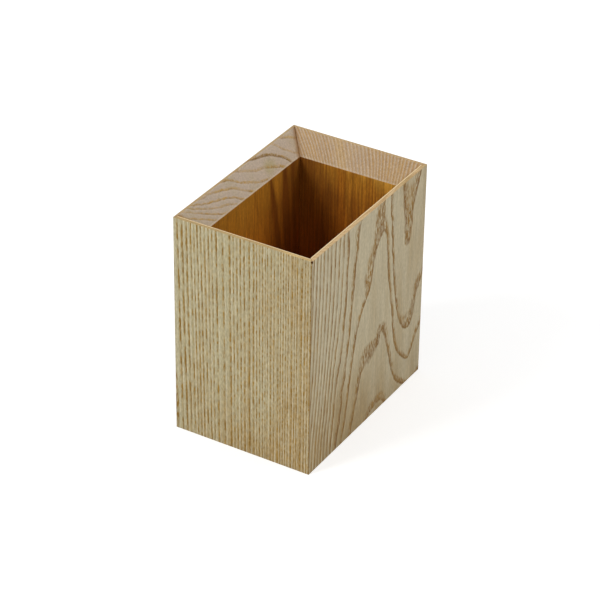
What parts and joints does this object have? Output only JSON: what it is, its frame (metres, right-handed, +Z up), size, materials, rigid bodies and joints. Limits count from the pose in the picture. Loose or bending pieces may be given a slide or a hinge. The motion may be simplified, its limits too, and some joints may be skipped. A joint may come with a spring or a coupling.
{
  "type": "pen stand",
  "caption": "Upright rectangular wooden pen stand with mitred solid boards, a mouth sloping in from a narrow flat rim, and a grooved-in floor panel.",
  "frame": {"origin": "middle of the footprint, on the surface that the stand rests on", "axes": "+X along the front from the left wall to the right wall, the short side of the plan; +Y from the front wall to the back wall; +Z up, out of the well"},
  "size_m": [0.07, 0.1, 0.11],
  "materials": {
    "ash_rift_sawn": "rift sawn ash, fine straight upright grain, fine sanded, matt clear oil",
    "ash_flat_sawn": "flat sawn ash, upright cathedral grain, fine sanded, matt clear oil",
    "ash_floor": "plain ash floor panel, fine sanded, matt clear oil"
  },
  "bodies": {
    "root": {"front_wall": "ash_rift_sawn", "back_wall": "ash_rift_sawn", "right_wall": "ash_flat_sawn", "left_wall": "ash_flat_sawn", "base_panel": "ash_floor"}
  },
  "joints": []
}
